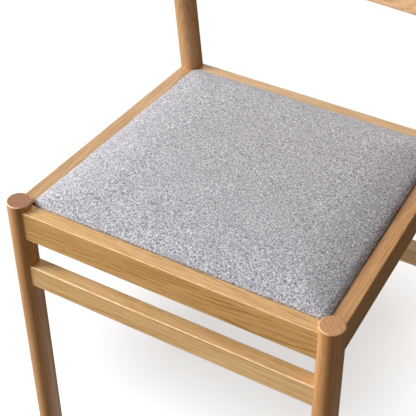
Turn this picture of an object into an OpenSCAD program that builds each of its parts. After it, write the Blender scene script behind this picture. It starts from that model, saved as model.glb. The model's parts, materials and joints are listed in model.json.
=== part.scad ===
// Dining chair without arms: four round legs, flat seat rails let into them, a drop-in
// upholstered seat, a front and a back stretcher, and one curved slat between the rear posts.
// Millimetres. +Z is up and the floor is Z = 0. The chair faces -Y. Left and right are as
// seen by someone who stands in front of the chair, so right is +X.

/* [Overall] */
// Height of the top of the seat rails above the floor
seat_h = 440; // [380:1:540]
// Distance between the axes of the two front legs
front_w = 462; // [380:1:560]
// Distance between the axes of the two rear legs, at the top of the seat rails
rear_w = 429; // [340:1:540]
// Distance from the front leg axes to the rear leg axes, at the top of the seat rails
seat_d = 416; // [340:1:510]

/* [Legs] */
// Diameter of the legs and posts
leg_d = 34; // [28:0.5:42]
// How far the front legs stand above the seat rails
leg_proud = 9.7; // [4:0.1:30]
// Rounding of the turned ends
leg_round = 2; // [0.5:0.1:5]
// Backward rake of the rear legs below the seat, in degrees
rake = 7.7; // [2:0.1:11]
// Backward lean of the rear posts above the seat, in degrees
lean = 2.3; // [0:0.1:10]
// Outward splay of the rear posts above the seat, in degrees
splay = 6.6; // [1:0.1:9]
// Radius of the bend where the rear leg turns into the post
bend_r = 160; // [100:1:240]

/* [Rails and stretchers] */
// Thickness of the seat rails and of the stretchers
rail_t = 22; // [17:0.5:26]
// Height of the seat rails
rail_h = 46.5; // [38:0.5:70]
// Height of the stretchers
stretcher_h = 35.5; // [24:0.5:50]
// Distance from the top of the seat rails down to the top of the front stretcher
front_stretcher_drop = 95.5; // [80:0.5:200]
// Distance from the top of the seat rails down to the top of the back stretcher
back_stretcher_drop = 228; // [100:1:280]
// Rounding of the long edges of the rails and stretchers
edge_round = 1.6; // [0.5:0.1:4]

/* [Back slat] */
// Distance from the top of the seat rails up to the lower edge of the slat
slat_rise = 177; // [120:1:230]
// Height of the slat
slat_h = 108; // [70:1:140]
// Thickness of the slat
slat_t = 18; // [14:0.5:22]
// Radius of the slat's curve, seen from above, at its middle line
slat_r = 1250; // [600:10:2500]
// Rounding of the slat's long edges
slat_round = 5; // [1:0.5:6.5]
// How far the rear posts stand above the slat
post_over = 27; // [10:1:80]

/* [Joints] */
// Thickness of every tenon
tenon_t = 9; // [7:0.5:10]
// How deep a tenon goes into the leg
tenon_l = 21; // [14:0.5:22]
// Shoulder above and below a rail's or a stretcher's tenons
tenon_shoulder = 4; // [2:0.5:6]
// Wood left between the two tenons that meet in one leg
tenon_web = 2.5; // [1.5:0.5:6]
// Shoulder above and below the slat's tenons
slat_shoulder = 16; // [6:1:24]
// Clearance round a tenon in its mortise
tenon_fit = 0.1; // [0.05:0.05:0.3]
// Free depth past the end of a tenon
tenon_gap = 1; // [0.5:0.5:2]

/* [Seat] */
// Gap between the upholstered seat and the rails
pad_gap = 1.2; // [0.6:0.1:3]
// Height of the middle of the seat above the rails
pad_proud = 15; // [4:0.5:30]
// How much higher the middle of the seat is than the middle of its sides
pad_crown = 8; // [3:0.5:20]
// Radius of the seat's corners, seen from above
pad_corner = 8; // [6:1:40]
// Distance from the top of the rails down to the top of the seat board
board_drop = 13; // [10:0.5:15]
// Thickness of the seat board
board_t = 9; // [8:0.5:10]
// Thickness of the seat fabric
cover_t = 1.2; // [0.8:0.1:2]
// Width of the fabric turned in under the board
hem_w = 26; // [18:1:40]
// Thickness of the lining under the seat
lining_t = 0.8; // [0.5:0.1:1.5]
// Distance of the lining's edge from the board's edge
lining_inset = 8; // [4:1:12]
// Clearance round the soft parts
soft_gap = 0.3; // [0.2:0.1:0.6]

/* [Corner blocks] */
// Length of a corner block along each rail
block_l = 58; // [50:1:80]
// Width of a corner block's blunt ends
block_end = 8; // [6:1:14]
// Thickness of a corner block
block_t = 15.5; // [12:0.5:16]
// Clearance between a corner block and the leg
block_gap = 1.5; // [0.5:0.5:3]
// Distance from the inner corner of the seat frame to each block screw
screw_place = 44; // [40:1:46]
// Distance from the inner corner of the seat frame to the seat bolt, along both rails
bolt_place = 25; // [22:1:27]

/* [Fasteners] */
// Diameter of a block screw
screw_d = 4.5; // [3:0.5:5]
// Depth of a block screw in the rail
screw_bite = 14; // [10:0.5:15]
// Wood under the head of a block screw
screw_seat = 9; // [6:0.5:12]
// Diameter of a block screw's head
screw_head_d = 8.4; // [7:0.1:9]
// Height of a block screw's head
screw_head_h = 3; // [2:0.5:4]
// Diameter of a seat bolt
bolt_d = 6; // [5:0.5:6]
// Clearance round a seat bolt
bolt_fit = 0.5; // [0.3:0.1:0.8]
// Diameter of a seat bolt's head
bolt_head_d = 11; // [10:0.5:13]
// Height of a seat bolt's head
bolt_head_h = 3.2; // [2.5:0.1:4]
// Diameter of a washer
washer_d = 16; // [14:0.5:18]
// Thickness of a washer
washer_t = 1.5; // [1:0.1:2]
// Outer diameter of the barrel of a tee nut
nut_barrel_d = 7.8; // [7.4:0.1:9]
// Diameter of the flange of a tee nut
nut_flange_d = 18; // [15:0.5:20]
// Thickness of the flange of a tee nut
nut_flange_t = 1.4; // [1:0.1:2]
// Number of staples along each side of the seat
staples_each = 5; // [3:1:8]
// Width of a staple
staple_w = 11; // [8:0.5:13]
// Thickness of a staple's wire
staple_wire = 0.9; // [0.7:0.1:1.2]
// Depth of a staple's legs in the board
staple_bite = 5; // [3:0.5:6]
// Distance of the staples from the board's edge
staple_inset = 15; // [13:1:16]

/* [Feet] */
// Height of a foot glide
glide_h = 4; // [2.5:0.5:6]
// Diameter of a foot glide
glide_d = 24; // [18:0.5:27]
// Diameter of a glide nail
nail_d = 2.6; // [2:0.1:3.5]
// Length of a glide nail in the leg
nail_bite = 15; // [10:0.5:20]
// Diameter of a glide nail's head
nail_head_d = 7; // [5:0.5:9]
// Height of a glide nail's head
nail_head_h = 1; // [0.6:0.1:1.5]

/* [Hidden] */
$fn = 96;
CURVE_FN = 720;
SLAT_CORNER_FN = 12;
CROWN_STEPS = 6;
EDGE_FN = 32;
OAK = [0.80, 0.60, 0.37];
OAK_DEEP = [0.72, 0.52, 0.31];
PLYWOOD = [0.78, 0.66, 0.48];
FABRIC = [0.68, 0.69, 0.71];
FOAM = [0.93, 0.89, 0.74];
LINING = [0.16, 0.16, 0.17];
STEEL = [0.74, 0.75, 0.77];
GLIDE = [0.35, 0.27, 0.20];

leg_r = leg_d / 2;
rail_z = seat_h - rail_h / 2;
back_h = seat_h + slat_rise + slat_h + post_over;

// The rear foot reaches furthest back, the front leg furthest forward: Y = 0 lies midway
bend_drop = rail_h / 2;
foot_back = (rail_z - glide_h) * tan(rake) - bend_drop * tan(lean);
chair_d = leg_r + seat_d + foot_back + leg_r / cos(rake);
front_y = leg_r - chair_d / 2;
back_y = front_y + seat_d;

// The seat's sides run in towards the back by this angle
side_angle = atan((front_w - rear_w) / 2 / seat_d);
side_l = seat_d / cos(side_angle);

// Directions of the right rear leg, both pointing up, and the bend between them
function unit(v) = v / norm(v);
leg_dir = unit([0, -tan(rake), 1]);
post_dir = unit([tan(splay), tan(lean), 1]);
bend_angle = acos(leg_dir * post_dir);
bend_reach = bend_r * tan(bend_angle / 2);
bend_side = unit(post_dir - leg_dir * cos(bend_angle));
back_corner = [rear_w / 2, back_y, seat_h];
bend_point = back_corner - bend_drop * [tan(splay), tan(lean), 1];
foot_y = front_y + seat_d + foot_back;

// Axis points of the right rear leg and post at a height
function leg_at(z) = bend_point + leg_dir * (z - bend_point.z) / leg_dir.z;
function post_at(z) = bend_point + post_dir * (z - bend_point.z) / post_dir.z;

// Tenons of the rails: the side rails have the upper one, the front and back rails the lower
rail_tenon_h = (rail_h - 2 * tenon_shoulder - tenon_web) / 2;
rail_tenon_level = (rail_tenon_h + tenon_web) / 2;
stretcher_tenon_h = stretcher_h - 2 * tenon_shoulder;
slat_tenon_h = slat_h - 2 * slat_shoulder;
tenon_root = 6;
tight_corner = 1;
seam_step = 0.15;
seam_lap = 1;
sheet = 0.01;

front_stretcher_z = seat_h - front_stretcher_drop - stretcher_h / 2;
back_stretcher_z = seat_h - back_stretcher_drop - stretcher_h / 2;

// The slat's middle line meets the post axes at the slat's middle height
slat_z = seat_h + slat_rise + slat_h / 2;
slat_end = post_at(slat_z);
slat_half_angle = asin(slat_end.x / slat_r);
slat_centre_y = slat_end.y - slat_r * cos(slat_half_angle);

// Seat opening between the rails
open_front = front_y + rail_t / 2;
open_back = back_y - rail_t / 2;
open_mid = (open_front + open_back) / 2;
function half_open(y, inset) =
    front_w / 2 - (y - front_y) * tan(side_angle) - (rail_t / 2 + inset) / cos(side_angle);

// Levels in the seat, from the top down
crown_top = seat_h + pad_proud;
crown_turn = 84 / CROWN_STEPS;
crown_reach = min((open_back - open_front) / 2, half_open(open_back, 0));
board_top = seat_h - board_drop;
board_under = board_top - board_t;
hem_under = board_under - cover_t;
lining_under = hem_under - lining_t;
block_top = lining_under - soft_gap;
block_under = block_top - block_t;
board_inset = pad_gap + cover_t + soft_gap;
bolt_hole_d = bolt_d + 2 * bolt_fit;
nut_barrel_l = board_t - 2;

// ---------- placing ----------

// Children with their Z axis along a direction
module along(point, dir) {
    translate(point) rotate([0, acos(dir.z), atan2(dir.y, dir.x)]) children();
}

// Children with their X and Y axes along two directions at right angles to each other
module oriented(point, x_dir, y_dir) {
    z_dir = cross(x_dir, y_dir);
    multmatrix([
        [x_dir.x, y_dir.x, z_dir.x, point.x],
        [x_dir.y, y_dir.y, z_dir.y, point.y],
        [x_dir.z, y_dir.z, z_dir.z, point.z],
        [0, 0, 0, 1]
    ]) children();
}

// Children on the left as a mirror image of the right
module on_side(side) {
    if (side < 0) mirror([1, 0, 0]) children();
    else children();
}

// Children drawn along +X from one leg axis, at the middle height of the member
module at_front_rail() translate([-front_w / 2, front_y, rail_z]) children();
module at_back_rail() translate([-rear_w / 2, back_y, rail_z]) children();
module at_right_rail() translate([front_w / 2, front_y, rail_z]) rotate([0, 0, 90 + side_angle]) children();
module at_front_stretcher() translate([-front_w / 2, front_y, front_stretcher_z]) children();
module at_back_stretcher() {
    axis = leg_at(back_stretcher_z);
    translate([-axis.x, axis.y, axis.z]) rotate([rake, 0, 0]) children();
}

// ---------- shapes ----------

// Round bar along +Z with its upper end rounded over, and its lower end too if asked
module turned_bar(length, foot_round = 0) {
    rotate_extrude() {
        square([leg_r - leg_round, length]);
        translate([0, foot_round]) square([leg_r, length - foot_round - leg_round]);
        translate([leg_r - leg_round, length - leg_round]) circle(leg_round, $fn = EDGE_FN);
        if (foot_round > 0)
            translate([leg_r - foot_round, foot_round]) circle(foot_round, $fn = EDGE_FN);
    }
}

// Rectangle with round corners, centred
module soft_rectangle(width, height, round, fineness = EDGE_FN) {
    square([width - 2 * round, height], center = true);
    square([width, height - 2 * round], center = true);
    for (x = [-1, 1], y = [-1, 1])
        translate([x * (width / 2 - round), y * (height / 2 - round)]) circle(round, $fn = fineness);
}

// Straight member along +X with round long edges
module bar(length, height) {
    rotate([90, 0, 90]) linear_extrude(length) soft_rectangle(rail_t, height, edge_round);
}

// Round-ended tenon along +X, its root at the leg's surface
module tenon(height, fit) {
    reach = tenon_l + (fit > 0 ? tenon_gap : 0);
    translate([leg_r - reach, 0, 0]) rotate([90, 0, 90]) linear_extrude(reach + tenon_root) {
        square([tenon_t + 2 * fit, height - tenon_t], center = true);
        for (end = [-1, 1])
            translate([0, end * (height - tenon_t) / 2]) circle(d = tenon_t + 2 * fit);
    }
}

// Tenons, or with a fit above 0 the mortises, at both ends of a member along +X
module tenon_pair(length, height, level, fit) {
    for (end = [0, 1])
        translate([end * length, 0, level]) rotate([0, 0, end * 180]) tenon(height, fit);
}

module front_rail_tenons(fit) at_front_rail() tenon_pair(front_w, rail_tenon_h, -rail_tenon_level, fit);
module back_rail_tenons(fit) at_back_rail() tenon_pair(rear_w, rail_tenon_h, -rail_tenon_level, fit);
module right_rail_tenons(fit) at_right_rail() tenon_pair(side_l, rail_tenon_h, rail_tenon_level, fit);
module front_stretcher_tenons(fit) at_front_stretcher() tenon_pair(front_w, stretcher_tenon_h, 0, fit);
module back_stretcher_tenons(fit)
    at_back_stretcher() tenon_pair(2 * leg_at(back_stretcher_z).x, stretcher_tenon_h, 0, fit);

// The right tenon of the slat runs on along the end of its curve
module slat_tenon(fit) {
    translate(slat_end) rotate([-lean, 0, 0]) rotate([0, 0, 180 - slat_half_angle]) tenon(slat_tenon_h, fit);
}

// Seat outline between the rails, drawn in by an inset, with round corners
module seat_outline(inset, fineness = 96) {
    round = max(pad_corner - inset + pad_gap, tight_corner);
    y_front = open_front + inset + round;
    y_back = open_back - inset - round;
    x_front = half_open(y_front, inset + round);
    x_back = half_open(y_back, inset + round);
    out = round * [cos(side_angle), sin(side_angle)];
    polygon([
        [-x_front, y_front - round], [x_front, y_front - round],
        [x_front, y_front] + out, [x_back, y_back] + out,
        [x_back, y_back + round], [-x_back, y_back + round],
        [-x_back - out.x, y_back + out.y], [-x_front - out.x, y_front + out.y]
    ]);
    for (side = [-1, 1]) {
        translate([side * x_front, y_front]) circle(round, $fn = fineness);
        translate([side * x_back, y_back]) circle(round, $fn = fineness);
    }
}

// Seat body from a level up to its crowned top, which rises from the sides as a quarter ellipse
module crowned(inset, bottom, drop) {
    hull() {
        translate([0, 0, bottom])
            linear_extrude(crown_top - pad_crown - drop - bottom) seat_outline(inset, EDGE_FN);
        for (step = [1 : CROWN_STEPS])
            translate([0, 0, crown_top - drop - pad_crown * (1 - sin(step * crown_turn))])
                linear_extrude(sheet, center = true)
                    seat_outline(inset + crown_reach * (1 - cos(step * crown_turn)), EDGE_FN);
    }
}

// Seat sheet of even thickness
module flat_seat(inset, bottom, thickness) {
    translate([0, 0, bottom]) linear_extrude(thickness) seat_outline(inset);
}

// ---------- legs ----------

module front_leg_blank() {
    translate([front_w / 2, front_y, glide_h]) turned_bar(seat_h + leg_proud - glide_h, leg_round);
}

// The bend is a hair stouter than the straight lengths, which run a little way into it,
// so that the surfaces meet cleanly
module rear_leg_blank() {
    low = bend_point - bend_reach * leg_dir;
    high = bend_point + bend_reach * post_dir;
    leg_l = (low.z - glide_h) / leg_dir.z + leg_d * tan(rake);
    post_l = (back_h - high.z) / post_dir.z;
    difference() {
        along(low + seam_lap * leg_dir, -leg_dir) cylinder(d = leg_d, h = leg_l + seam_lap);
        translate([low.x - leg_d, foot_y - leg_d, glide_h - leg_d]) cube([2 * leg_d, 2 * leg_d, leg_d]);
    }
    oriented(low + bend_r * bend_side, -bend_side, leg_dir)
        rotate_extrude(angle = bend_angle, $fn = CURVE_FN)
            translate([bend_r, 0]) circle(leg_r + seam_step, $fn = 96);
    along(high - seam_lap * post_dir, post_dir) turned_bar(post_l + seam_lap);
}

module front_leg(side) {
    color(OAK) on_side(side) difference() {
        front_leg_blank();
        front_rail_tenons(tenon_fit);
        right_rail_tenons(tenon_fit);
        front_stretcher_tenons(tenon_fit);
        at_glides() glide_nail_shape();
    }
}

module rear_leg(side) {
    color(OAK) on_side(side) difference() {
        rear_leg_blank();
        back_rail_tenons(tenon_fit);
        right_rail_tenons(tenon_fit);
        back_stretcher_tenons(tenon_fit);
        slat_tenon(tenon_fit);
        at_glides() glide_nail_shape();
    }
}

// ---------- rails, stretchers and slat ----------

module both_front_legs() {
    for (side = [-1, 1])
        translate([side * front_w / 2, front_y, 0]) cylinder(d = leg_d, h = seat_h + leg_d);
}

module both_rear_legs() {
    for (side = [-1, 1]) on_side(side) rear_leg_blank();
}

// Straight lengths of the rear legs alone, long enough to shape what meets them
module both_leg_lengths() {
    for (side = [-1, 1]) on_side(side) along(bend_point, -leg_dir) cylinder(d = leg_d, h = seat_h);
}

module both_post_lengths() {
    for (side = [-1, 1]) on_side(side) along(bend_point, post_dir) cylinder(d = leg_d, h = seat_h);
}

module front_seat_rail() {
    color(OAK) difference() {
        union() {
            difference() {
                at_front_rail() bar(front_w, rail_h);
                both_front_legs();
            }
            front_rail_tenons(0);
        }
        at_block_screws() screw_shape();
    }
}

module back_seat_rail() {
    color(OAK) difference() {
        union() {
            difference() {
                at_back_rail() bar(rear_w, rail_h);
                both_rear_legs();
            }
            back_rail_tenons(0);
        }
        at_block_screws() screw_shape();
    }
}

module side_seat_rail(side) {
    color(OAK) on_side(side) difference() {
        union() {
            difference() {
                at_right_rail() bar(side_l, rail_h);
                both_front_legs();
                rear_leg_blank();
            }
            right_rail_tenons(0);
        }
        at_block_screws() screw_shape();
    }
}

module front_stretcher() {
    color(OAK) {
        difference() {
            at_front_stretcher() bar(front_w, stretcher_h);
            both_front_legs();
        }
        front_stretcher_tenons(0);
    }
}

module back_stretcher() {
    color(OAK) {
        difference() {
            at_back_stretcher() bar(2 * leg_at(back_stretcher_z).x, stretcher_h);
            both_leg_lengths();
        }
        back_stretcher_tenons(0);
    }
}

module back_slat() {
    color(OAK) {
        difference() {
            translate([0, slat_end.y, slat_z]) rotate([-lean, 0, 0])
                translate([0, slat_centre_y - slat_end.y, 0])
                    rotate([0, 0, 90 - slat_half_angle])
                        rotate_extrude(angle = 2 * slat_half_angle, $fn = CURVE_FN)
                        translate([slat_r, 0]) soft_rectangle(slat_t, slat_h, slat_round, SLAT_CORNER_FN);
            both_post_lengths();
        }
        for (side = [-1, 1]) on_side(side) slat_tenon(0);
    }
}

// ---------- corner blocks and what holds them ----------

// Inner corner of the seat frame on the right, with the directions along its two rails
function frame_corner(y) = [half_open(y, 0), y];
function side_way(back) = (back ? -1 : 1) * [-sin(side_angle), cos(side_angle)];

module corner_block(side, back) {
    corner = frame_corner(back ? open_back : open_front);
    way = side_way(back);
    inward = [0, back ? -1 : 1];
    side_in = [-cos(side_angle), -sin(side_angle)];
    cross_end = corner + block_l * [-1, 0];
    side_end = corner + block_l * way;
    color(OAK_DEEP) on_side(side) difference() {
        translate([0, 0, block_under]) linear_extrude(block_t) polygon([
            corner, cross_end, cross_end + block_end * inward, side_end + block_end * side_in, side_end
        ]);
        if (back) translate([back_corner.x, back_corner.y, 0]) cylinder(r = leg_r + block_gap + 1, h = seat_h);
        else translate([front_w / 2, front_y, 0]) cylinder(r = leg_r + block_gap, h = seat_h);
        at_block_screws() {
            screw_shape();
            translate([0, 0, -screw_seat - block_l]) cylinder(d = screw_head_d + 1, h = block_l);
        }
        at_bolts() translate([0, 0, block_under - 1]) cylinder(d = bolt_hole_d, h = block_t + 2);
    }
}

// Both screws of each right-hand block: the origin is the rail's inner face, +Z goes into the rail
module at_block_screws() {
    for (side = [-1, 1], back = [false, true]) on_side(side) {
        corner = frame_corner(back ? open_back : open_front);
        cross_at = corner + screw_place * [-1, 0];
        side_at = corner + screw_place * side_way(back);
        level = block_under + block_t / 2;
        along([cross_at.x, cross_at.y, level], [0, back ? 1 : -1, 0]) children();
        along([side_at.x, side_at.y, level], [cos(side_angle), sin(side_angle), 0]) children();
    }
}

module at_bolts() {
    for (side = [-1, 1], back = [false, true]) {
        spot = frame_corner(back ? open_back : open_front) + bolt_place * ([-1, 0] + side_way(back));
        translate([side * spot.x, spot.y, 0]) children();
    }
}

module screw_shape() {
    translate([0, 0, -screw_seat]) cylinder(d = screw_d, h = screw_seat + screw_bite);
}

module block_screws() {
    color(STEEL) at_block_screws() {
        screw_shape();
        translate([0, 0, -screw_seat - screw_head_h]) cylinder(d = screw_head_d, h = screw_head_h);
    }
}

module seat_bolts() {
    head_top = block_under - washer_t;
    color(STEEL) at_bolts() {
        translate([0, 0, head_top]) cylinder(d = bolt_d, h = board_top - nut_flange_t - head_top);
        translate([0, 0, head_top - bolt_head_h]) cylinder(d = bolt_head_d, h = bolt_head_h);
    }
}

module seat_washers() {
    color(STEEL) at_bolts() translate([0, 0, block_under - washer_t]) difference() {
        cylinder(d = washer_d, h = washer_t);
        translate([0, 0, -1]) cylinder(d = bolt_hole_d, h = washer_t + 2);
    }
}

module seat_tee_nuts() {
    color(STEEL) at_bolts() difference() {
        union() {
            translate([0, 0, board_top - nut_flange_t]) cylinder(d = nut_flange_d, h = nut_flange_t);
            translate([0, 0, board_top - nut_barrel_l]) cylinder(d = nut_barrel_d, h = nut_barrel_l);
        }
        translate([0, 0, board_under]) cylinder(d = bolt_d, h = board_t + 1);
    }
}

// ---------- seat ----------

module seat_board() {
    color(PLYWOOD) difference() {
        flat_seat(board_inset, board_under, board_t);
        at_bolts() {
            translate([0, 0, board_under - 1]) cylinder(d = nut_barrel_d, h = board_t + 2);
            translate([0, 0, board_top - nut_flange_t]) cylinder(d = nut_flange_d, h = nut_flange_t + 1);
        }
        at_staples() staple_legs();
    }
}

module seat_foam() {
    color(FOAM) crowned(board_inset, board_top + soft_gap, cover_t + soft_gap);
}

module seat_cover() {
    color(FABRIC) difference() {
        crowned(pad_gap, hem_under, 0);
        crowned(pad_gap + cover_t, board_under, cover_t);
        flat_seat(pad_gap + cover_t + hem_w, hem_under - 1, cover_t + 2);
        at_bolts() translate([0, 0, hem_under - 1]) cylinder(d = bolt_hole_d, h = cover_t + 2);
        at_staples() staple_legs();
    }
}

module seat_lining() {
    color(LINING) difference() {
        flat_seat(board_inset + lining_inset, lining_under, lining_t);
        at_bolts() translate([0, 0, lining_under - 1]) cylinder(d = bolt_hole_d, h = lining_t + 2);
        at_staples() staple_legs();
    }
}

// Staples along the four sides, between the corner blocks; +X runs along the side
module at_staples() {
    inset = board_inset + staple_inset;
    clear = block_l + staple_w;
    x_front = half_open(open_front, 0) - clear;
    x_back = half_open(open_back, 0) - clear;
    for (i = [0 : staples_each - 1]) {
        share = i / (staples_each - 1);
        translate([x_front * (2 * share - 1), open_front + inset, lining_under]) children();
        translate([x_back * (2 * share - 1), open_back - inset, lining_under]) children();
        y = open_front + clear + share * (open_back - open_front - 2 * clear);
        for (side = [-1, 1])
            translate([side * half_open(y, inset), y, lining_under])
                rotate([0, 0, 90 + side * side_angle]) children();
    }
}

module staple_legs() {
    depth = lining_t + cover_t + staple_bite;
    for (end = [-1, 1])
        translate([end * (staple_w - staple_wire) / 2, 0, depth / 2])
            cube([staple_wire, staple_wire, depth], center = true);
}

module cover_staples() {
    color(STEEL) at_staples() {
        staple_legs();
        translate([-staple_w / 2, -staple_wire / 2, -staple_wire])
            cube([staple_w, staple_wire, staple_wire]);
    }
}

// ---------- feet ----------

module at_glides() {
    for (side = [-1, 1]) {
        translate([side * front_w / 2, front_y, 0]) children();
        translate([side * bend_point.x, foot_y, 0]) children();
    }
}

// Shank of a nail, from its head's seat in the glide up into the leg
module glide_nail_shape() {
    translate([0, 0, nail_head_h]) cylinder(d = nail_d, h = glide_h - nail_head_h + nail_bite);
}

module foot_glides() {
    color(GLIDE) at_glides() difference() {
        cylinder(d = glide_d, h = glide_h);
        glide_nail_shape();
        translate([0, 0, -1]) cylinder(d = nail_head_d, h = 2 * nail_head_h + 1);
    }
}

module glide_nails() {
    color(STEEL) at_glides() {
        glide_nail_shape();
        translate([0, 0, nail_head_h]) cylinder(d = nail_head_d, h = nail_head_h);
    }
}

front_leg(-1);  // front_leg_left
front_leg(1);  // front_leg_right
rear_leg(-1);  // rear_leg_left
rear_leg(1);  // rear_leg_right
front_seat_rail();
back_seat_rail();
side_seat_rail(-1);  // left_seat_rail
side_seat_rail(1);  // right_seat_rail
front_stretcher();
back_stretcher();
back_slat();
corner_block(-1, false);  // corner_block_front_left
corner_block(1, false);  // corner_block_front_right
corner_block(-1, true);  // corner_block_back_left
corner_block(1, true);  // corner_block_back_right
seat_board();
seat_foam();
seat_cover();
seat_lining();
cover_staples();
block_screws();
seat_bolts();
seat_washers();
seat_tee_nuts();
foot_glides();
glide_nails();
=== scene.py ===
import json
import math

import bpy
import numpy as np
from mathutils import Matrix, Vector

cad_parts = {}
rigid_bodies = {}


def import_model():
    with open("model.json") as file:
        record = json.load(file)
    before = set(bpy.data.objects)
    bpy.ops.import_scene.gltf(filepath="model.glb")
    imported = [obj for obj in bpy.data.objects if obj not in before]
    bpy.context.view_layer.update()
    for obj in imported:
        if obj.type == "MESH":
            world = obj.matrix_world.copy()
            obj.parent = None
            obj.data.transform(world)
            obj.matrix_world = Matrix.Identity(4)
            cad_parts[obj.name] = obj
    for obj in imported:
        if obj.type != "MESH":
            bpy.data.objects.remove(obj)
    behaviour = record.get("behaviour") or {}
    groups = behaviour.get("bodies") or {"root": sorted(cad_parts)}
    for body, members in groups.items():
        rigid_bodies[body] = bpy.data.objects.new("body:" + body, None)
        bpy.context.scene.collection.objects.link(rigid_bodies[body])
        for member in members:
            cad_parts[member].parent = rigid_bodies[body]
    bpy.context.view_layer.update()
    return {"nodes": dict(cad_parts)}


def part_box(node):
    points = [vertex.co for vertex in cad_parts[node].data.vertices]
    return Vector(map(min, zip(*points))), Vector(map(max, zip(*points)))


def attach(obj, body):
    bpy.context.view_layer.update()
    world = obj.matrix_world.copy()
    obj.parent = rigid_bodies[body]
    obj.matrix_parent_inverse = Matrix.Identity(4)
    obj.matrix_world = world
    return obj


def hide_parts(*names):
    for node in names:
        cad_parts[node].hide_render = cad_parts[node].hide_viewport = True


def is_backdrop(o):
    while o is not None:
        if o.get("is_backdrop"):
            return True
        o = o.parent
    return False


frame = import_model()
nodes = frame["nodes"]

# ---------- camera, light and floor ----------

CAMERA_AT = (0.58606, -1.09904, 1.38898)
CAMERA_YAW = math.radians(31.196)
CAMERA_PITCH = math.radians(39.474)
CAMERA_ROLL = math.radians(-0.727)
CAMERA_LENS = 97.2
CAMERA_SENSOR = 36.0
CAMERA_CLIP = (0.05, 60)

LIGHT_AIM = (0.0, 0.0, 0.40)
KEY_AZIMUTH, KEY_ELEVATION, KEY_FAR = math.radians(-153), math.radians(29), 3.0
KEY_SIZE, KEY_LEVEL = 1.5, 1.25
TOP_AT, TOP_SIZE, TOP_LEVEL = (-0.3, -0.6, 3.2), 1.6, 0.09
FILL_AT, FILL_SIZE, FILL_LEVEL = (0.75, -2.8, 1.4), 1.6, 0.27
WALL_AT, WALL_SIZE, WALL_LEVEL = (-1.15, 2.1, 2.3), 2.4, 0.30
BOUNCE_AT, BOUNCE_SIZE, BOUNCE_LEVEL = (0.3, 0.2, -2.2), 2.4, 0.28
FLOOR_LAMP_AT, FLOOR_LAMP_SIZE, FLOOR_LAMP_LEVEL = (0.12, -1.02, 3.0), 1.6, 0.72
SKY, SKY_LEVEL = (1.0, 0.88, 0.76), 0.13
FLOOR_COLOUR = (0.900, 0.921, 0.943)
FLOOR_SPECK = 0.995           # share of the paper's brightness that its faint specks have
FLOOR_GLOW = 0.590
FLOOR_FADE = (0.8, 2.4)       # how far out the floor turns into the backdrop
BACKDROP_RADIUS, BACKDROP_GLOW = 12.0, 1.1
BLACK_LEVEL = 0.010
WHITE, BLACK = (1, 1, 1, 1), (0, 0, 0, 1)

# ---------- upholstery ----------

PAD_EDGE = 0.0068         # height above the rails where the top rolls over into the sides
PAD_CROWN = 0.0158        # height of the middle above the rails before it swells
PAD_SOFT = 0.080          # how far from a side the top is still rising
PAD_RISE = 2.4            # how quickly it rises near a side
PAD_ROLL = 0.0076         # radius of the roll into the sides
PAD_BULGE = 0.0026        # how far the roll leans out over the rails' rounded arris
PAD_TOUCH = 0.0009        # how far the sides swell into the gap below it
PAD_CORNER_DROP = 0.0030  # how much lower the roll is at the corners
PAD_CORNER_REACH = 0.035  # how far from a corner the drop is felt
PAD_PULL = 0.0008         # how far the sides pull in half-way between the corners
PAD_PULL_REACH = 0.15     # how far from a corner the pull is at its full depth
PAD_HEM = 0.004           # how far in from the sides the flat underside starts
PAD_HEM_RISE = 0.0015     # how high the underside's rounded edge reaches
PAD_RINGS = 16            # rings of points from the roll to the middle of the top
PAD_RINGS_REACH = 0.9     # how much of the way to the middle they cover
PAD_UPRIGHT = 0.6         # a point whose normal rises less than this belongs to a side
PAD_SMOOTHING = 4         # rounds of smoothing after it swells
VOXEL = 0.0045            # size of the pad's cells when it is meshed evenly
SIDE_LENGTH = 0.1         # an outline's shorter edges belong to a rounded corner

SWELL_PRESSURE, SWELL_FRAMES = 4.0, 20
SWELL_CAP = 0.0020        # how far the furthest point moves
SWELL_HELD = 0.003        # the cloth is held from this far below the rails' top
CLOTH_STIFF, CLOTH_BEND = 40, 4

LINING_RINGS, LINING_STEPS = 24, 50
LINING_CENTRE = 0.04      # share of the lining's size at its innermost ring
LINING_SAG = 0.0025       # how deep it hangs in the middle, before the ripple
LINING_FLAT = 0.075       # how far in from its sides it reaches that depth
RIPPLE = 0.35             # share of the sag by which it ripples
RIPPLE_X, RIPPLE_Y, RIPPLE_BEND = 71, 37, 23  # radians per metre
BOLT_ROOM = 0.007         # radius of the lining's hole round a bolt

# ---------- colours, linear ----------

OAK_LIGHT = (0.72, 0.45, 0.22)
OAK_MID = (0.60, 0.345, 0.145)
OAK_DARK = (0.38, 0.20, 0.070)
OAK_END = (0.31, 0.115, 0.048)
# colour of the painted highlight laid along the oak's arrises
ARRIS_HIGHLIGHT = (0.86, 0.64, 0.42)

# ---------- sizes in the materials ----------

RING_GAP, RING_GAP_ROUND = 0.0029, 0.0050
RING_WANDER = 0.022       # how far the year rings wander from true circles
YARN = 0.0013             # how far apart two yarns lie
DIAMONDS = 2400.0         # radians per metre of the diamonds pressed into the lining
PLY = 0.0030              # thickness of one ply of the board


def linear(r, g, b):
    """An sRGB colour, 0 to 255, as linear values."""
    def one(v):
        v /= 255
        return v / 12.92 if v <= 0.04045 else ((v + 0.055) / 1.055) ** 2.4
    return (one(r), one(g), one(b), 1.0)


# ---------- node helpers ----------

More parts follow.
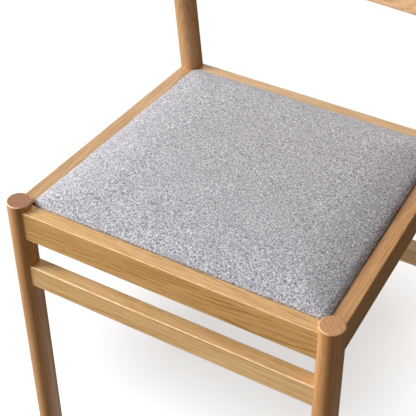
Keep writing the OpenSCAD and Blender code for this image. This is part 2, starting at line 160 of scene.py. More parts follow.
class Tree:
    """A material's nodes, made one after the other."""

    def __init__(self, name):
        self.material = bpy.data.materials.new(name)
        self.material.use_nodes = True
        self.nodes = self.material.node_tree.nodes
        self.links = self.material.node_tree.links
        self.nodes.clear()
        self.out = self.nodes.new("ShaderNodeOutputMaterial")
        self.shader = self.nodes.new("ShaderNodeBsdfPrincipled")
        self.links.new(self.shader.outputs[0], self.out.inputs[0])

    def put(self, socket, value):
        if isinstance(value, bpy.types.NodeSocket):
            self.links.new(value, socket)
        else:
            socket.default_value = value

    def coords(self):
        return self.nodes.new("ShaderNodeTexCoord").outputs["Object"]

    def math(self, operation, a, b=0.0, clamp=False):
        n = self.nodes.new("ShaderNodeMath")
        n.operation, n.use_clamp = operation, clamp
        self.put(n.inputs[0], a)
        self.put(n.inputs[1], b)
        return n.outputs[0]

    def times(self, a, b):
        return self.math("MULTIPLY", a, b)

    def plus(self, a, b):
        return self.math("ADD", a, b)

    def minus(self, a, b):
        return self.math("SUBTRACT", a, b)

    def length(self, vector):
        n = self.nodes.new("ShaderNodeVectorMath")
        n.operation = "LENGTH"
        self.put(n.inputs[0], vector)
        return n.outputs["Value"]

    def split(self, vector):
        n = self.nodes.new("ShaderNodeSeparateXYZ")
        self.put(n.inputs[0], vector)
        return n.outputs[0], n.outputs[1], n.outputs[2]

    def join(self, x, y, z):
        n = self.nodes.new("ShaderNodeCombineXYZ")
        for socket, value in zip(n.inputs, (x, y, z)):
            self.put(socket, value)
        return n.outputs[0]

    def place(self, vector, turn=(0, 0, 0), shift=(0, 0, 0), scale=(1, 1, 1)):
        n = self.nodes.new("ShaderNodeMapping")
        n.vector_type = "POINT"
        self.put(n.inputs["Vector"], vector)
        n.inputs["Location"].default_value = shift
        n.inputs["Rotation"].default_value = turn
        n.inputs["Scale"].default_value = scale
        return n.outputs[0]

    def noise(self, vector, scale, detail=2.0, rough=0.5, distortion=0.0):
        n = self.nodes.new("ShaderNodeTexNoise")
        self.put(n.inputs["Vector"], vector)
        numbers = {"Scale": scale, "Detail": detail, "Roughness": rough, "Distortion": distortion}
        for name, number in numbers.items():
            n.inputs[name].default_value = number
        return n.outputs["Fac"]

    def streaks(self, vector, shift, scale, detail, rough=0.5):
        """Noise that is stretched by its own amount along each axis."""
        return self.noise(self.place(vector, shift=shift, scale=scale), 1.0, detail, rough)

    def waves(self, vector, rate):
        """Waves along X times waves along Y: a grid of small hills and hollows."""
        x, y = self.split(vector)[:2]
        along_x = self.math("SINE", self.times(x, rate))
        along_y = self.math("SINE", self.times(y, rate))
        return self.times(along_x, along_y)

    def cells(self, vector, scale):
        n = self.nodes.new("ShaderNodeTexVoronoi")
        self.put(n.inputs["Vector"], vector)
        n.inputs["Scale"].default_value = scale
        return n.outputs["Distance"]

    def ramp(self, value, stops):
        n = self.nodes.new("ShaderNodeValToRGB")
        self.put(n.inputs[0], value)
        points = n.color_ramp.elements
        while len(points) < len(stops):
            points.new(0.5)
        for point, (at, colour) in zip(points, stops):
            point.position = at
            point.color = colour if len(colour) == 4 else (*colour, 1)
        return n.outputs["Color"]

    def grey(self, value, low, high, to_low=0.0, to_high=1.0):
        """Maps low to high onto another span, easing in and out and stopping at both ends."""
        n = self.nodes.new("ShaderNodeMapRange")
        n.clamp = True
        n.interpolation_type = "SMOOTHSTEP"
        self.put(n.inputs["Value"], value)
        numbers = {"From Min": low, "From Max": high, "To Min": to_low, "To Max": to_high}
        for name, number in numbers.items():
            n.inputs[name].default_value = number
        return n.outputs["Result"]

    def mix(self, share, a, b, blend="MIX"):
        n = self.nodes.new("ShaderNodeMix")
        n.data_type, n.blend_type = "RGBA", blend
        self.put(n.inputs["Factor"], share)
        colour_in = [s for s in n.inputs if s.type == "RGBA"]
        for socket, value in zip(colour_in, (a, b)):
            if isinstance(value, tuple) and len(value) == 3:
                value = (*value, 1)
            self.put(socket, value)
        return [s for s in n.outputs if s.type == "RGBA"][0]

    def bump(self, height, strength, distance):
        n = self.nodes.new("ShaderNodeBump")
        n.inputs["Strength"].default_value = strength
        n.inputs["Distance"].default_value = distance
        self.put(n.inputs["Height"], height)
        self.links.new(n.outputs[0], self.shader.inputs["Normal"])

    def normal(self):
        return self.nodes.new("ShaderNodeNewGeometry").outputs["Normal"]

    def set(self, **sockets):
        for name, value in sockets.items():
            self.put(self.shader.inputs[name.replace("_", " ")], value)


# ---------- wood ----------

# how finely each layer varies along the grain, then across it both ways
WANDER_GRAIN = (2.6, 9, 9)
BREAKS_GRAIN = (34, 620, 620)
FIBRE_GRAIN = (12, 520, 520)
PORES_GRAIN = (70, 1500, 1500)
DRIFT_GRAIN = (3.5, 26, 26)
# noise that breaks the painted arris highlight into patches
HIGHLIGHT_PATCH_GRAIN = (90, 200, 200)

# boards have a thin clear coat, the round legs a thicker one, and bare wood has none
FINISH = {
    "board": {"roughness": (0.36, 0.48), "specular": 0.45, "coat": 0.22, "coat_roughness": 0.36},
    "leg": {"roughness": (0.36, 0.48), "specular": 0.45, "coat": 0.80, "coat_roughness": 0.50},
    "bare": {"roughness": (0.62, 0.78), "specular": 0.25, "coat": 0.00, "coat_roughness": 0.36},
}


def year_rings(t, local, seed, pith, gap):
    """How dark each year's late wood is, 0 to 1, in rings round the pith line."""
    x, y, z = t.split(local)
    wander = t.streaks(local, (seed, seed * 1.7, seed * 0.6), WANDER_GRAIN, 3.0, 0.55)
    push = t.times(t.minus(wander, 0.5), RING_WANDER)
    dy = t.minus(y, pith[0])
    dz = t.minus(z, pith[1])
    radius = t.math("SQRT", t.plus(t.times(dy, dy), t.times(dz, dz)))
    rings = t.math("DIVIDE", t.plus(radius, push), gap)
    uneven = t.noise(t.join(t.times(rings, 0.37), t.times(x, 1.5), seed), 1.0, 2.0)
    phase = t.math("FRACT", t.plus(rings, t.times(uneven, 2.2)))
    return t.minus(t.grey(phase, 0.42, 0.82), t.grey(phase, 0.88, 1.0))


def long_grain(t, local, seed, late, figure, fibre, pores):
    """Colour along the grain: rings broken up by fibres, with pores and slow drifts of colour."""
    breaks = t.streaks(local, (seed * 2, seed, seed), BREAKS_GRAIN, 2.0, 0.6)
    drift = t.streaks(local, (seed * 5, seed * 2, seed), DRIFT_GRAIN, 2.0)
    lines = t.times(late, t.grey(breaks, 0.36, 0.60, 0.05, 1.0))
    dark = t.times(lines, t.grey(drift, 0.30, 0.70, 0.30 * figure, 0.85 * figure))
    dark = t.plus(dark, t.grey(fibre, 0.36, 0.66, 0.0, 0.42))
    dark = t.math("ADD", dark, t.grey(drift, 0.35, 0.7, -0.05, 0.16), clamp=True)
    colour = t.ramp(dark, [(0.0, OAK_LIGHT), (0.42, OAK_MID), (1.0, OAK_DARK)])
    return t.mix(t.grey(pores, 0.58, 0.72, 0.0, 0.40), colour, OAK_DARK)


def arris_painted_highlight(t, local, seed, normal, is_round):
    """Where an arris gets a painted highlight, broken into patches. A round bar's arrises are those
    of its ends.
    """
    along, side, face = normal
    if is_round:
        around = t.math("SQRT", t.math("SUBTRACT", 1.0, t.times(along, along), clamp=True))
        slope = t.times(along, around)
    else:
        slope = t.times(side, face)
    # patches that break up the painted highlight along the arris
    highlight_patches = t.streaks(local, (seed, 3, seed), HIGHLIGHT_PATCH_GRAIN, 2.0)
    return t.times(t.grey(slope, 0.20, 0.44), t.grey(highlight_patches, 0.30, 0.62, 0.25, 0.85))


def cut_end(t, local, late):
    """Colour of a cut end, which drinks more finish: dark rings and paler rays."""
    colour = t.mix(t.times(late, 0.9), OAK_END, tuple(0.48 * c for c in OAK_END))
    rays = t.cells(t.place(local, turn=(0.5, 0, 0), scale=(1, 1, 0.16)), 260)
    return t.mix(t.grey(rays, 0.12, 0.0, 0.0, 0.8), colour, OAK_LIGHT)


def wood(name, kind, turn, seed, pith, tint, figure=1.0, end_share=0.85):
    """Oak whose grain runs along X once the piece is turned. The year rings lie round a pith line
    at (y, z), so that faces, edges and ends belong together, and figure is how strongly they
    show. end_share is how much of a cut end's darker colour is there."""
    t = Tree(name)
    finish = FINISH[kind]
    is_round = kind == "leg"
    local = t.place(t.coords(), turn=turn)
    normal = [t.math("ABSOLUTE", part) for part in t.split(t.place(t.normal(), turn=turn))]
    late = year_rings(t, local, seed, pith, RING_GAP_ROUND if is_round else RING_GAP)
    fibre = t.streaks(local, (seed * 3, seed, seed * 2), FIBRE_GRAIN, 3.0, 0.65)
    pores = t.streaks(local, (seed, 0, seed), PORES_GRAIN, 1.0)

    colour = long_grain(t, local, seed, late, figure, fibre, pores)
    # painted highlight: a paler colour laid along the arrises, in patches
    colour = t.mix(arris_painted_highlight(t, local, seed, normal, is_round), colour, ARRIS_HIGHLIGHT)
    colour = t.mix(1.0, colour, tint, "MULTIPLY")
    is_end = t.grey(normal[0], 0.90, 0.98)
    colour = t.mix(t.times(is_end, end_share), colour, cut_end(t, local, late))

    t.set(
        Base_Color=colour,
        Roughness=t.grey(fibre, 0.3, 0.7, *finish["roughness"]),
        Specular_IOR_Level=finish["specular"],
        Coat_Weight=finish["coat"],
        Coat_Roughness=finish["coat_roughness"],
    )
    t.bump(t.minus(t.times(fibre, 0.6), t.times(pores, 0.5)), 0.15, 0.0006)
    return t.material


# ---------- fabric ----------

def heather(name):
    """Woven upholstery of mixed light and dark grey yarn."""
    t = Tree(name)
    place = t.coords()
    fleck = t.noise(place, 470, 2.0, 0.62, 0.7)
    fine = t.noise(t.place(place, shift=(3, 1, 2)), 1150, 1.0, 0.5)
    slow = t.noise(place, 22, 2.0)
    tone = t.plus(t.times(fleck, 0.74), t.times(fine, 0.26))
    colour = t.ramp(tone, [
        (0.35, linear(82, 81, 92)),
        (0.45, linear(162, 162, 171)),
        (0.54, linear(207, 207, 215)),
        (0.64, linear(254, 254, 255)),
    ])
    colour = t.mix(t.grey(slow, 0.35, 0.65, 0.0, 0.10), colour, linear(150, 150, 158))
    t.set(
        Base_Color=colour,
        Roughness=t.grey(fleck, 0.3, 0.7, 0.86, 0.98),
        Specular_IOR_Level=0.2,
        Sheen_Weight=0.25,
        Sheen_Roughness=0.5,
    )
    weave = t.waves(place, 2 * math.pi / YARN)
    t.bump(t.plus(t.times(weave, 0.25), tone), 0.5, 0.0006)
    return t.material


def black_cloth(name):
    """Spun dust cloth, calendered in small diamonds."""
    t = Tree(name)
    place = t.coords()
    fibre = t.noise(t.place(place, turn=(0, 0, 0.6), scale=(1, 2.6, 1)), 700, 3.0, 0.6)
    diamonds = t.waves(t.place(place, turn=(0, 0, math.pi / 4)), DIAMONDS)
    colour = t.ramp(fibre, [(0.35, linear(54, 54, 57)), (0.68, linear(82, 82, 86))])
    t.set(Base_Color=colour, Roughness=t.grey(fibre, 0.3, 0.7, 0.72, 0.9))
    t.bump(t.plus(fibre, t.times(diamonds, 0.3)), 0.4, 0.0004)
    return t.material


# ---------- hidden and small parts ----------

def plywood(name):
    """Unfinished plywood: streaked faces, and sides of light and dark layers."""
    t = Tree(name)
    place = t.coords()
    layer = t.grey(t.math("FRACT", t.times(t.split(place)[2], 1 / PLY)), 0.45, 0.55)
    streak = t.noise(t.place(place, scale=(12, 220, 220)), 1.0, 3.0, 0.6)
    colour = t.ramp(streak, [(0.3, linear(214, 184, 140)), (0.7, linear(190, 154, 108))])
    side = t.grey(t.math("ABSOLUTE", t.split(t.normal())[2]), 0.7, 0.3)
    colour = t.mix(t.times(side, t.times(layer, 0.5)), colour, linear(140, 100, 62))
    t.set(Base_Color=colour, Roughness=t.grey(streak, 0.3, 0.7, 0.6, 0.75))
    t.bump(streak, 0.15, 0.0005)
    return t.material


def foam(name):
    """Pale yellow foam with open cells."""
    t = Tree(name)
    cells = t.cells(t.coords(), 620)
    colour = t.ramp(cells, [(0.0, linear(206, 190, 150)), (0.6, linear(240, 230, 200))])
    t.set(Base_Color=colour, Roughness=0.95)
    t.bump(cells, 0.5, 0.0008)
    return t.material


def steel(name):
    """Zinc-plated steel, worn unevenly."""
    t = Tree(name)
    wear = t.noise(t.coords(), 260, 3.0, 0.6)
    colour = t.ramp(wear, [(0.3, linear(141, 142, 145)), (0.7, linear(172, 174, 178))])
    t.set(Base_Color=colour, Metallic=1.0, Roughness=t.grey(wear, 0.3, 0.7, 0.28, 0.48))
    t.bump(wear, 0.08, 0.0003)
    return t.material


def glide_plastic(name):
    """Matt brown plastic, finely spark-textured and scuffed."""
    t = Tree(name)
    grain = t.noise(t.coords(), 1400, 2.0, 0.6)
    scuff = t.noise(t.coords(), 160, 3.0, 0.6)
    colour = t.ramp(scuff, [(0.35, linear(84, 64, 47)), (0.7, linear(112, 88, 68))])
    t.set(Base_Color=colour, Roughness=t.grey(scuff, 0.3, 0.7, 0.55, 0.75))
    t.bump(grain, 0.35, 0.0003)
    return t.material


# ---------- the CAD pieces ----------

def paint(material, *names):
    """Puts one material on the named CAD pieces."""
    for name in names:
        slots = nodes[name].data.materials
        slots.clear()
        slots.append(material)


def middle(node):
    low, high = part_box(node)
    return (low + high) / 2


def outline(node):
    """Corners of a node's outline as seen from above, going round anticlockwise."""
    points = sorted({(round(v.co.x, 6), round(v.co.y, 6)) for v in nodes[node].data.vertices})

    def turns_left(a, b, c):
        return (b[0] - a[0]) * (c[1] - a[1]) - (b[1] - a[1]) * (c[0] - a[0]) > 1e-10

    def half(points):
        kept = []
        for p in points:
            while len(kept) > 1 and not turns_left(kept[-2], kept[-1], p):
                kept.pop()
            kept.append(p)
        return kept[:-1]

    return np.array(half(points) + half(points[::-1]))


# ---------- camera, light and floor ----------

def make_camera():
    """The photograph's viewpoint."""
    data = bpy.data.cameras.new("camera")
    data.sensor_width, data.lens = CAMERA_SENSOR, CAMERA_LENS
    data.clip_start, data.clip_end = CAMERA_CLIP
    camera = bpy.data.objects.new("camera", data)
    turn = (
        Matrix.Rotation(CAMERA_YAW, 3, "Z")
        @ Matrix.Rotation(math.pi / 2 - CAMERA_PITCH, 3, "X")
        @ Matrix.Rotation(CAMERA_ROLL, 3, "Z")
    )
    camera.matrix_world = Matrix.Translation(CAMERA_AT) @ turn.to_4x4()
    bpy.context.scene.collection.objects.link(camera)
    bpy.context.scene.camera = camera


def only_for(name, pieces):
    group = bpy.data.collections.new(name)
    for piece in pieces:
        group.objects.link(piece)
    return group


def area_light(name, at, size, level, lit, shaded_by=None):
    """A round soft light. Its level is what it adds to a white surface that faces it at the aim.
    It lights only the objects in lit, and only those in shaded_by stop it, if any are given."""
    away = (Vector(at) - Vector(LIGHT_AIM)).length
    data = bpy.data.lights.new(name, "AREA")
    data.shape, data.size = "DISK", size
    data.energy = level * math.pi ** 2 * away ** 2
    lamp = bpy.data.objects.new(name, data)
    lamp.location = at
    lamp.rotation_euler = (Vector(LIGHT_AIM) - Vector(at)).to_track_quat("-Z", "Y").to_euler()
    bpy.context.scene.collection.objects.link(lamp)
    lamp.light_linking.receiver_collection = only_for(name + "_lights", lit)
    if shaded_by:
        lamp.light_linking.blocker_collection = only_for(name + "_blocked", shaded_by)


def make_sky():
    """A dim warm light from all around."""
    world = bpy.data.worlds.new("studio")
    bpy.context.scene.world = world
    world.use_nodes = True
    background = world.node_tree.nodes["Background"]
    background.inputs["Color"].default_value = (*SKY, 1)
    background.inputs["Strength"].default_value = SKY_LEVEL


def glow_only_for_camera(piece):
    """The piece is seen, but neither lights nor shades anything."""
    piece.visible_diffuse = False
    piece.visible_glossy = False
    piece.visible_transmission = False
    piece.visible_volume_scatter = False
    piece.visible_shadow = False
    piece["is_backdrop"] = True


def seen_from_above_only(t):
    """Makes the back of a surface clear, so that the object can be seen from below."""
    clear = t.nodes.new("ShaderNodeBsdfTransparent")
    either = t.nodes.new("ShaderNodeMixShader")
    is_back = t.nodes.new("ShaderNodeNewGeometry").outputs["Backfacing"]
    t.links.new(is_back, either.inputs[0])
    t.links.new(t.shader.outputs[0], either.inputs[1])
    t.links.new(clear.outputs[0], either.inputs[2])
    t.links.new(either.outputs[0], t.out.inputs[0])


def make_floor():
    """Pale paper that glows into the backdrop further out."""
    bpy.ops.mesh.primitive_circle_add(vertices=96, radius=BACKDROP_RADIUS, fill_type="NGON")
    floor = bpy.context.object
    floor.name = "floor"
    t = Tree("floor_paper")
    speck = t.grey(t.noise(t.coords(), 6.0, 3.0), 0.3, 0.7)
    t.set(
        Base_Color=t.mix(speck, FLOOR_COLOUR, tuple(FLOOR_SPECK * c for c in FLOOR_COLOUR)),
        Roughness=0.95,
        Emission_Color=WHITE,
        Emission_Strength=t.grey(t.length(t.coords()), *FLOOR_FADE, FLOOR_GLOW, BACKDROP_GLOW),
    )
    seen_from_above_only(t)
    floor.data.materials.append(t.material)
    glow_only_for_camera(floor)
    return floor


def make_backdrop():
    """A white dome round everything."""
    bpy.ops.mesh.primitive_uv_sphere_add(segments=48, ring_count=24, radius=BACKDROP_RADIUS)
    dome = bpy.context.object
    dome.name = "backdrop"
    t = Tree("backdrop_white")
    t.set(Base_Color=BLACK, Emission_Color=WHITE, Emission_Strength=BACKDROP_GLOW)
    dome.data.materials.append(t.material)
    glow_only_for_camera(dome)


# ---------- mesh helpers ----------

def new_mesh_object(name, vertices, faces):
    mesh = bpy.data.meshes.new(name)
    mesh.from_pydata([tuple(v) for v in vertices], [], faces)
    mesh.validate()
    piece = bpy.data.objects.new(name, mesh)
    bpy.context.scene.collection.objects.link(piece)
    return piece


def lofted(name, rings):
    """A closed form through rings of points, all of one length, with both ends filled."""
    count = len(rings[0])
    vertices = [p for ring in rings for p in ring]
    starts = range(0, len(vertices), count)
    faces = []
    for lower, upper in zip(starts, starts[1:]):
        for i in range(count):
            j = (i + 1) % count
            faces.append((lower + i, lower + j, upper + j, upper + i))
    faces.append(tuple(range(count))[::-1])
    faces.append(tuple(range(starts[-1], len(vertices))))
    return new_mesh_object(name, vertices, faces)


def apply(piece, modifier):
    for other in bpy.context.view_layer.objects:
        other.select_set(False)
    bpy.context.view_layer.objects.active = piece
    piece.select_set(True)
    bpy.ops.object.modifier_apply(modifier=modifier.name)


def smooth_shaded(piece):
    piece.data.polygons.foreach_set("use_smooth", [True] * len(piece.data.polygons))


def read_vertices(piece, what):
    """The co or the normal of every vertex, one row each."""
    values = np.zeros(len(piece.data.vertices) * 3, np.float32)
    piece.data.vertices.foreach_get(what, values)
    return values.reshape(-1, 3)


def points_of(piece):
    return read_vertices(piece, "co").astype(float)


def set_points(piece, points):
    piece.data.vertices.foreach_set("co", points.astype(np.float32).ravel())
    piece.data.update()


def edge_ways(edge):
    """The way from each corner of an outline to the next."""
    return np.roll(edge, -1, axis=0) - edge


def inside_by(points, edge):
    """How far each point lies inside each straight side of a convex outline, in plan,
    nearest side first."""
    way = edge_ways(edge)
    length = np.linalg.norm(way, axis=1)
    long = length > SIDE_LENGTH
    way, start = way[long] / length[long, None], edge[long]
    inward = np.stack([-way[:, 1], way[:, 0]], 1)
    return np.sort(np.einsum("pek,ek->pe", points[:, None, :2] - start[None], inward), axis=1)


# ---------- the upholstered seat ----------

def pad_top(points, edge, rail_top):
    """Height of the pad's top: it rises from all four sides, and least at the corners."""
    deep = np.maximum(inside_by(points, edge) + PAD_BULGE, 0)
    rise = np.prod(1 - (1 - np.clip(deep / PAD_SOFT, 0, 1)) ** PAD_RISE, axis=1)
    near = np.clip(1 - deep[:, 0] / PAD_ROLL, 0, 1)
    roll = PAD_ROLL * (1 - np.sqrt(1 - near ** 2))
    corner = PAD_CORNER_DROP * np.clip(1 - deep[:, 1] / PAD_CORNER_REACH, 0, 1) ** 2
    return rail_top + PAD_EDGE - corner + (PAD_CROWN - PAD_EDGE + corner) * rise - roll


def pad_form(edge, bottom, rail_top):
    """The closed form of the stuffed seat before it swells, flat where it lies on the blocks."""
    centre = edge.mean(0)
    half = min(np.ptp(edge[:, 0]), np.ptp(edge[:, 1])) / 2

    def plan(inset):
        return centre + (edge - centre) * (1 - inset / half)

    def level_ring(inset, height):
        return np.column_stack([plan(inset), np.full(len(edge), height)])

    def top_ring(inset):
        return np.column_stack([plan(inset), pad_top(plan(inset), edge, rail_top)])

    sides = [
        level_ring(PAD_HEM, bottom),
        level_ring(PAD_PULL, bottom + PAD_HEM_RISE),
        level_ring(PAD_PULL, (bottom + rail_top) / 2),
    ]
    insets = np.linspace(0, 1, PAD_RINGS) ** 2 * half * PAD_RINGS_REACH - PAD_BULGE
    return lofted("seat_pad", sides + [top_ring(inset) for inset in insets])


def swell(piece, rail_top):
    """Fabric pulled over foam: the cloth swells against its own tension while its sides and
    underside are held. All of the movement is scaled so that the furthest point moves SWELL_CAP."""
    rest = points_of(piece)
    held = piece.vertex_groups.new(name="held")
    low_points = np.nonzero(rest[:, 2] < rail_top - SWELL_HELD)[0]
    held.add([int(i) for i in low_points], 1.0, "REPLACE")
    cloth = piece.modifiers.new("cloth", "CLOTH")
    cloth.settings.use_pressure = True
    cloth.settings.uniform_pressure_force = SWELL_PRESSURE
    cloth.settings.vertex_group_mass = "held"
    cloth.settings.tension_stiffness = CLOTH_STIFF
    cloth.settings.compression_stiffness = CLOTH_STIFF
    cloth.settings.bending_stiffness = CLOTH_BEND
    cloth.settings.effector_weights.gravity = 0
    cloth.collision_settings.use_self_collision = False
    for number in range(1, SWELL_FRAMES + 1):
        bpy.context.scene.frame_set(number)
    apply(piece, cloth)
    moved = points_of(piece) - rest
    furthest = np.linalg.norm(moved, axis=1).max()
    set_points(piece, rest + moved * min(1, SWELL_CAP / furthest))
    bpy.context.scene.frame_set(1)


def fit_pad(pad, edge, bottom, rail_top):
    """The sides follow the frame's opening, pulled in between the corners, and the pad lies flat
    on the blocks."""
    points = points_of(pad)
    upright = np.abs(read_vertices(pad, "normal")[:, 2]) < PAD_UPRIGHT
    way = edge_ways(edge)
    way = way / np.maximum(np.linalg.norm(way, axis=1, keepdims=True), 1e-9)
    outward = np.stack([way[:, 1], -way[:, 0]], 1)
    out = np.einsum("pek,ek->pe", points[:, None, :2] - edge[None], outward)
    nearest = np.argmax(out, axis=1)
    out = out[np.arange(len(points)), nearest]

    over = np.clip((points[:, 2] - rail_top) / PAD_BULGE, 0, 1)
    pulled = PAD_PULL * np.clip(inside_by(points, edge)[:, 1] / PAD_PULL_REACH, 0, 1)
    limit = PAD_TOUCH + (PAD_BULGE - PAD_TOUCH) * over - pulled * (1 - over)
    below_roll = points[:, 2] < rail_top + PAD_EDGE - PAD_ROLL / 2
    side = upright & below_roll & (out > -PAD_ROLL)
    shift = np.where(side, limit - out, np.minimum(0, limit - out))
    points[:, :2] += outward[nearest] * shift[:, None]
    points[:, 2] = np.maximum(points[:, 2], bottom)
    set_points(pad, points)


def make_pad():
    """The cover and foam as one stuffed piece."""
    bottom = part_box("seat_cover")[0].z
    rail_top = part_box("front_seat_rail")[1].z
    edge = outline("seat_cover")
    pad = pad_form(edge, bottom, rail_top)
    remesh = pad.modifiers.new("remesh", "REMESH")
    remesh.mode, remesh.voxel_size = "VOXEL", VOXEL
    apply(pad, remesh)
    swell(pad, rail_top)
    smooth = pad.modifiers.new("smooth", "CORRECTIVE_SMOOTH")
    smooth.iterations, smooth.use_only_smooth = PAD_SMOOTHING, True
    apply(pad, smooth)
    fit_pad(pad, edge, bottom, rail_top)
    finer = pad.modifiers.new("subdivide", "SUBSURF")
    finer.levels = 1
    apply(pad, finer)
    smooth_shaded(pad)
    pad.data.materials.append(heather("seat_heather"))
    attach(pad, "root")
    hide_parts("seat_cover", "seat_foam")


# ---------- the lining under the seat ----------

def evenly(edge, steps):
    """The outline with its long sides divided, about this many steps to a side. Corners stay."""
    ways = edge_ways(edge)
    size = np.linalg.norm(ways, axis=1).sum() / (4 * steps)
    points = []
    for corner, way in zip(edge, ways):
        parts = max(1, round(np.linalg.norm(way) / size))
        points += [corner + way * k / parts for k in range(parts)]
    return np.array(points)


def bolt_places():
    """Where the four seat bolts stand, in plan."""
    points = np.array([v.co[:2] for v in nodes["seat_bolts"].data.vertices])
    right, back = (points > points.mean(0)).T
    return [
        points[(right == is_right) & (back == is_back)].mean(0)
        for is_right in (False, True)
        for is_back in (False, True)
    ]


def lining_points(edge, top):
    """Rings of points from the lining's edge to its centre. It lies flat over the corner blocks
    and the staples, and is slack in the middle."""
    centre = edge.mean(0)
    shares = np.linspace(1, LINING_CENTRE, LINING_RINGS)
    plan = np.vstack([centre + (edge - centre) * share for share in shares] + [centre])
    reach = np.ptp(edge, axis=0) / 2
    inward = (1 - np.abs(plan - centre) / reach) * reach
    slack = np.prod(np.clip(inward / LINING_FLAT, 0, 1) ** 2, axis=1)
    x, y = plan.T
    ripple = RIPPLE * np.sin(x * RIPPLE_X + 2 * np.sin(y * RIPPLE_BEND)) * np.sin(y * RIPPLE_Y)
    return np.column_stack([plan, top - LINING_SAG * slack * (1 + ripple)])


def lining_faces(points, count):
    """Faces between the rings and round the centre, with a hole at each bolt."""
    starts = range(0, len(points) - 1, count)
    faces = []
    for outer, inner in zip(starts, starts[1:]):
        for i in range(count):
            j = (i + 1) % count
            faces.append((outer + i, inner + i, inner + j, outer + j))
    last = starts[-1]
    faces += [(last + i, len(points) - 1, last + (i + 1) % count) for i in range(count)]
    bolts = bolt_places()

    def clear_of_bolts(face):
        centre = points[list(face), :2].mean(0)
        return all(np.linalg.norm(centre - bolt) > BOLT_ROOM for bolt in bolts)

    return [face for face in faces if clear_of_bolts(face)]


def make_lining():
    """Thin black cloth stapled to the board."""
    low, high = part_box("seat_lining")
    edge = evenly(outline("seat_lining"), LINING_STEPS)
    points = lining_points(edge, high.z)
    cloth = new_mesh_object("seat_underlining", points, lining_faces(points, len(edge)))
    cloth.data.materials.append(black_cloth("lining_cloth"))
    thick = cloth.modifiers.new("thick", "SOLIDIFY")
    thick.thickness, thick.offset = high.z - low.z, 1.0
    apply(cloth, thick)
    smooth_shaded(cloth)
    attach(cloth, "root")
    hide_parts("seat_lining")


# ---------- materials on the CAD pieces ----------

UP = (0, math.pi / 2, 0)          # grain along Z
ACROSS = (0, 0, 0)                # grain along X
SKEW = (0, math.radians(2.2), 0)  # grain along X, running out a little
DEEP = (0, 0, -math.pi / 2)       # grain along Y

# each piece of oak: how its grain turns, its tint, how strongly it is figured,
# and how much of a cut end's darker colour it has
OAK = {
    "front_leg_left": (UP, (1.27, 1.13, 1.10), 0.5, 0.90),
    "front_leg_right": (UP, (1.30, 1.11, 0.96), 0.5, 0.35),
    "rear_leg_left": (UP, (1.03, 0.97, 0.98), 0.5, 0.85),
    "rear_leg_right": (UP, (1.05, 0.98, 1.00), 0.5, 0.70),
    "front_seat_rail": (SKEW, (1.00, 0.98, 0.84), 1.0, 0.85),
    "back_seat_rail": (ACROSS, (0.95, 1.00, 1.02), 0.8, 0.85),
    "left_seat_rail": (DEEP, (0.84, 0.84, 0.83), 0.6, 0.85),
    "right_seat_rail": (DEEP, (0.90, 0.79, 0.66), 0.8, 0.85),
    "front_stretcher": (ACROSS, (1.19, 1.28, 1.36), 0.5, 0.85),
    "back_stretcher": (ACROSS, (1.08, 1.12, 1.20), 0.7, 0.85),
    "back_slat": (ACROSS, (1.22, 1.30, 1.58), 0.7, 0.85),
}
OAK_SEED, OAK_SEED_STEP = 3.1, 2.3

# where the pith runs, from the middle of a piece: every other piece has it on the other side
PITH_AWAY = {
    UP: (0.062, 0.041),
    ACROSS: (0.055, -0.030),
    SKEW: (0.048, -0.034),
    DEEP: (0.060, -0.040),
}

BLOCK_TURN = (0, 0, math.pi / 4)
BLOCK_TINT = (1.05, 1.12, 1.25)
BLOCK_PITH_AWAY = 0.05
BLOCK_SEED, BLOCK_SEED_STEP = 31.3, 1.7


def across_grain(turn, at):
    """A point's two coordinates across the grain, once turned."""
    if turn == UP:
        return at.y, -at.x
    if turn == DEEP:
        return -at.x, at.z
    return at.y, at.z


def dress_oak():
    for i, (name, (turn, tint, figure, end_share)) in enumerate(OAK.items()):
        y, z = across_grain(turn, middle(name))
        away_y, away_z = PITH_AWAY[turn]
        pith = (y - away_y if i % 2 else y + away_y, z + away_z)
        kind = "leg" if turn == UP else "board"
        seed = OAK_SEED + OAK_SEED_STEP * i
        paint(wood(name + "_oak", kind, turn, seed, pith, tint, figure, end_share), name)


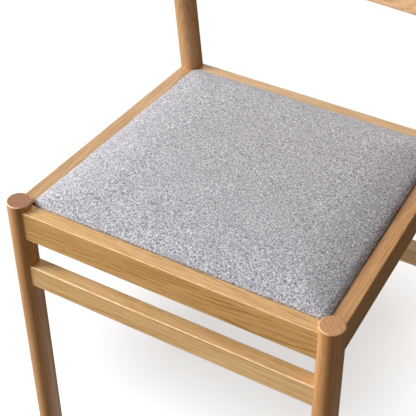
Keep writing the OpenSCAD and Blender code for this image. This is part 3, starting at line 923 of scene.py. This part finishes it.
def dress_blocks():
    for i, name in enumerate(sorted(n for n in nodes if n.startswith("corner_block"))):
        at = middle(name)
        pith = (at.y + BLOCK_PITH_AWAY, at.z)
        seed = BLOCK_SEED + BLOCK_SEED_STEP * i
        paint(wood(name + "_wood", "bare", BLOCK_TURN, seed, pith, BLOCK_TINT), name)


def dress_hidden_parts():
    paint(plywood("board_plywood"), "seat_board")
    paint(foam("pad_foam"), "seat_foam")
    paint(heather("cover_heather"), "seat_cover")
    paint(black_cloth("cad_lining_cloth"), "seat_lining")
    zinc = steel("zinc_steel")
    paint(zinc, "cover_staples", "block_screws", "glide_nails")
    paint(zinc, "seat_bolts", "seat_washers", "seat_tee_nuts")
    paint(glide_plastic("glide_plastic"), "foot_glides")


# ---------- the studio ----------

def set_contrast():
    """Standard colours, with blacks a little deeper."""
    look = bpy.context.scene.view_settings
    look.view_transform = "Standard"
    look.use_curve_mapping = True
    look.curve_mapping.black_level = (BLACK_LEVEL,) * 3
    look.curve_mapping.update()


def make_lights(floor):
    """Soft lights for the chair, and one for the floor, in which only the seat casts a shadow."""
    chair = [o for o in bpy.context.scene.objects if o.type == "MESH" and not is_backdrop(o)]
    boards = [nodes[name] for name in OAK if "leg" not in name]
    seat_pad = bpy.data.objects["seat_pad"]
    flat = math.cos(KEY_ELEVATION) * KEY_FAR
    up = math.sin(KEY_ELEVATION) * KEY_FAR
    key_way = Vector((flat * math.cos(KEY_AZIMUTH), flat * math.sin(KEY_AZIMUTH), up))
    area_light("key", Vector(LIGHT_AIM) + key_way, KEY_SIZE, KEY_LEVEL, chair)
    area_light("top", TOP_AT, TOP_SIZE, TOP_LEVEL, chair)
    area_light("fill", FILL_AT, FILL_SIZE, FILL_LEVEL, boards)
    area_light("bounce", BOUNCE_AT, BOUNCE_SIZE, BOUNCE_LEVEL, chair)
    area_light("wall", WALL_AT, WALL_SIZE, WALL_LEVEL, chair)
    area_light("floor_lamp", FLOOR_LAMP_AT, FLOOR_LAMP_SIZE, FLOOR_LAMP_LEVEL, [floor], [seat_pad])


def make_studio():
    set_contrast()
    make_camera()
    make_sky()
    make_backdrop()
    make_lights(make_floor())


dress_oak()
dress_blocks()
dress_hidden_parts()
make_pad()
make_lining()
make_studio()
